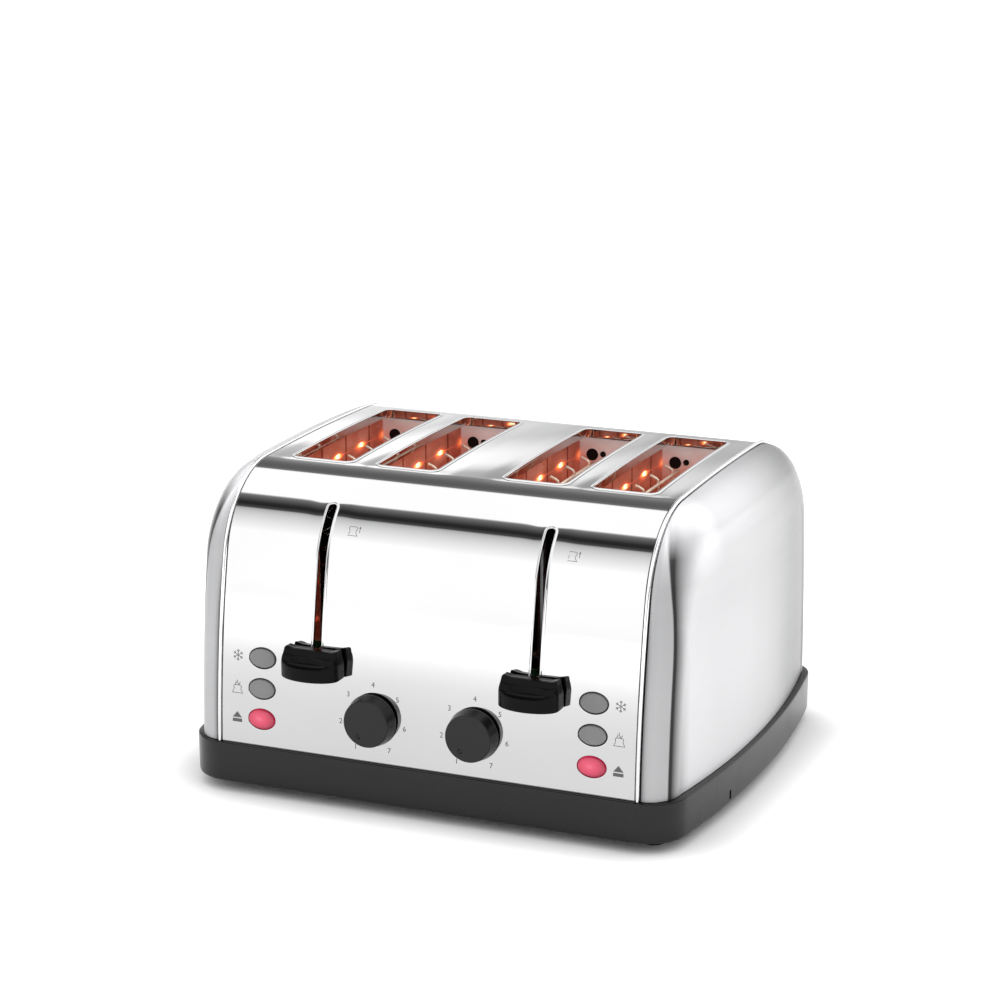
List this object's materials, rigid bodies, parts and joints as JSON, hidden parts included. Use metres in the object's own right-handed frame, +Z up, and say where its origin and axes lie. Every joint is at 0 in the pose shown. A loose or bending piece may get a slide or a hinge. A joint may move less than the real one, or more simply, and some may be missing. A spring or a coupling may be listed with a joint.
{
  "type": "electric toaster",
  "caption": "Electric toaster with long bread slots in a polished wrap panel, brushed bowed end covers, a black base, slide levers, browning dials and push buttons.",
  "frame": {"origin": "on the floor, under the middle of the whole object's box", "axes": "+X towards the right end seen from the front, +Y to the back, +Z up; the controls face -Y"},
  "size_m": [0.3272, 0.2996, 0.1927],
  "materials": {
    "polished_steel": "mirror polished",
    "brushed_steel": "fine vertical brushing",
    "base_plastic": "fine satin grain",
    "lever_plastic": "satin black",
    "dial_plastic": "satin black",
    "foot_rubber": "matt",
    "button_grey": "satin",
    "button_lit": "translucent, lit from behind",
    "plated_steel": "zinc plated",
    "heater_mica": "glowing ribbon on mica board",
    "guard_wire": "drawn wire",
    "board_laminate": "laminate",
    "magnet_coil": "enamelled wire",
    "terminal_resin": "moulded",
    "gland_rubber": "matt"
  },
  "bodies": {
    "housing": {"wrap_panel": "polished_steel", "base": "base_plastic", "cord_gland": "gland_rubber", "terminal_block": "terminal_resin", "foot_front_left": "foot_rubber", "foot_front_right": "foot_rubber", "foot_rear_left": "foot_rubber", "foot_rear_right": "foot_rubber", "left_end_cover": "brushed_steel", "left_front_plate": "plated_steel", "left_rear_plate": "plated_steel", "left_heater_inner": "heater_mica", "left_heater_middle": "heater_mica", "left_heater_outer": "heater_mica", "left_guard_inner_1": "guard_wire", "left_guard_inner_2": "guard_wire", "left_guard_outer_1": "guard_wire", "left_guard_outer_2": "guard_wire", "left_guide_rod": "plated_steel", "left_return_spring": "plated_steel", "left_latch_magnet": "magnet_coil", "left_control_board": "board_laminate", "left_dial_pot": "dial_plastic", "right_end_cover": "brushed_steel", "right_front_plate": "plated_steel", "right_rear_plate": "plated_steel", "right_heater_inner": "heater_mica", "right_heater_middle": "heater_mica", "right_heater_outer": "heater_mica", "right_guard_inner_1": "guard_wire", "right_guard_inner_2": "guard_wire", "right_guard_outer_1": "guard_wire", "right_guard_outer_2": "guard_wire", "right_guide_rod": "plated_steel", "right_return_spring": "plated_steel", "right_latch_magnet": "magnet_coil", "right_control_board": "board_laminate", "right_dial_pot": "dial_plastic"},
    "left_carriage": {"left_carriage_bracket": "plated_steel", "left_lever_knob": "lever_plastic", "left_bread_rack_inner": "plated_steel", "left_bread_rack_outer": "plated_steel"},
    "left_dial": {"left_dial_shaft": "plated_steel", "left_dial_knob": "dial_plastic"},
    "left_tray": {"left_crumb_tray": "plated_steel"},
    "left_defrost_button": {"left_defrost_button": "button_grey"},
    "left_reheat_button": {"left_reheat_button": "button_grey"},
    "left_cancel_button": {"left_cancel_button": "button_lit"},
    "right_carriage": {"right_carriage_bracket": "plated_steel", "right_lever_knob": "lever_plastic", "right_bread_rack_inner": "plated_steel", "right_bread_rack_outer": "plated_steel"},
    "right_dial": {"right_dial_shaft": "plated_steel", "right_dial_knob": "dial_plastic"},
    "right_tray": {"right_crumb_tray": "plated_steel"},
    "right_defrost_button": {"right_defrost_button": "button_grey"},
    "right_reheat_button": {"right_reheat_button": "button_grey"},
    "right_cancel_button": {"right_cancel_button": "button_lit"}
  },
  "joints": [
    {"name": "left_lever_slide", "type": "slide", "parent": "housing", "child": "left_carriage", "axis": [0, 0, 1], "range_m": [0, 0.08], "deforming": ["left_return_spring"]},
    {"name": "left_dial_turn", "type": "hinge", "parent": "housing", "child": "left_dial", "pos_m": [-0.032, -0.13347, 0.0572], "axis": [0, 1, 0], "range_deg": [0, 297]},
    {"name": "left_tray_slide", "type": "slide", "parent": "housing", "child": "left_tray", "axis": [0, 1, 0], "range_m": [0, 0.2]},
    {"name": "left_defrost_button_press", "type": "slide", "parent": "housing", "child": "left_defrost_button", "axis": [0, 1, 0], "range_m": [0, 0.0025], "stiffness_N_per_m": 400},
    {"name": "left_reheat_button_press", "type": "slide", "parent": "housing", "child": "left_reheat_button", "axis": [0, 1, 0], "range_m": [0, 0.0025], "stiffness_N_per_m": 400},
    {"name": "left_cancel_button_press", "type": "slide", "parent": "housing", "child": "left_cancel_button", "axis": [0, 1, 0], "range_m": [0, 0.0025], "stiffness_N_per_m": 400},
    {"name": "right_lever_slide", "type": "slide", "parent": "housing", "child": "right_carriage", "axis": [0, 0, 1], "range_m": [0, 0.08], "deforming": ["right_return_spring"]},
    {"name": "right_dial_turn", "type": "hinge", "parent": "housing", "child": "right_dial", "pos_m": [0.032, -0.13347, 0.0572], "axis": [0, 1, 0], "range_deg": [0, 297]},
    {"name": "right_tray_slide", "type": "slide", "parent": "housing", "child": "right_tray", "axis": [0, 1, 0], "range_m": [0, 0.2]},
    {"name": "right_defrost_button_press", "type": "slide", "parent": "housing", "child": "right_defrost_button", "axis": [0, 1, 0], "range_m": [0, 0.0025], "stiffness_N_per_m": 400},
    {"name": "right_reheat_button_press", "type": "slide", "parent": "housing", "child": "right_reheat_button", "axis": [0, 1, 0], "range_m": [0, 0.0025], "stiffness_N_per_m": 400},
    {"name": "right_cancel_button_press", "type": "slide", "parent": "housing", "child": "right_cancel_button", "axis": [0, 1, 0], "range_m": [0, 0.0025], "stiffness_N_per_m": 400}
  ]
}
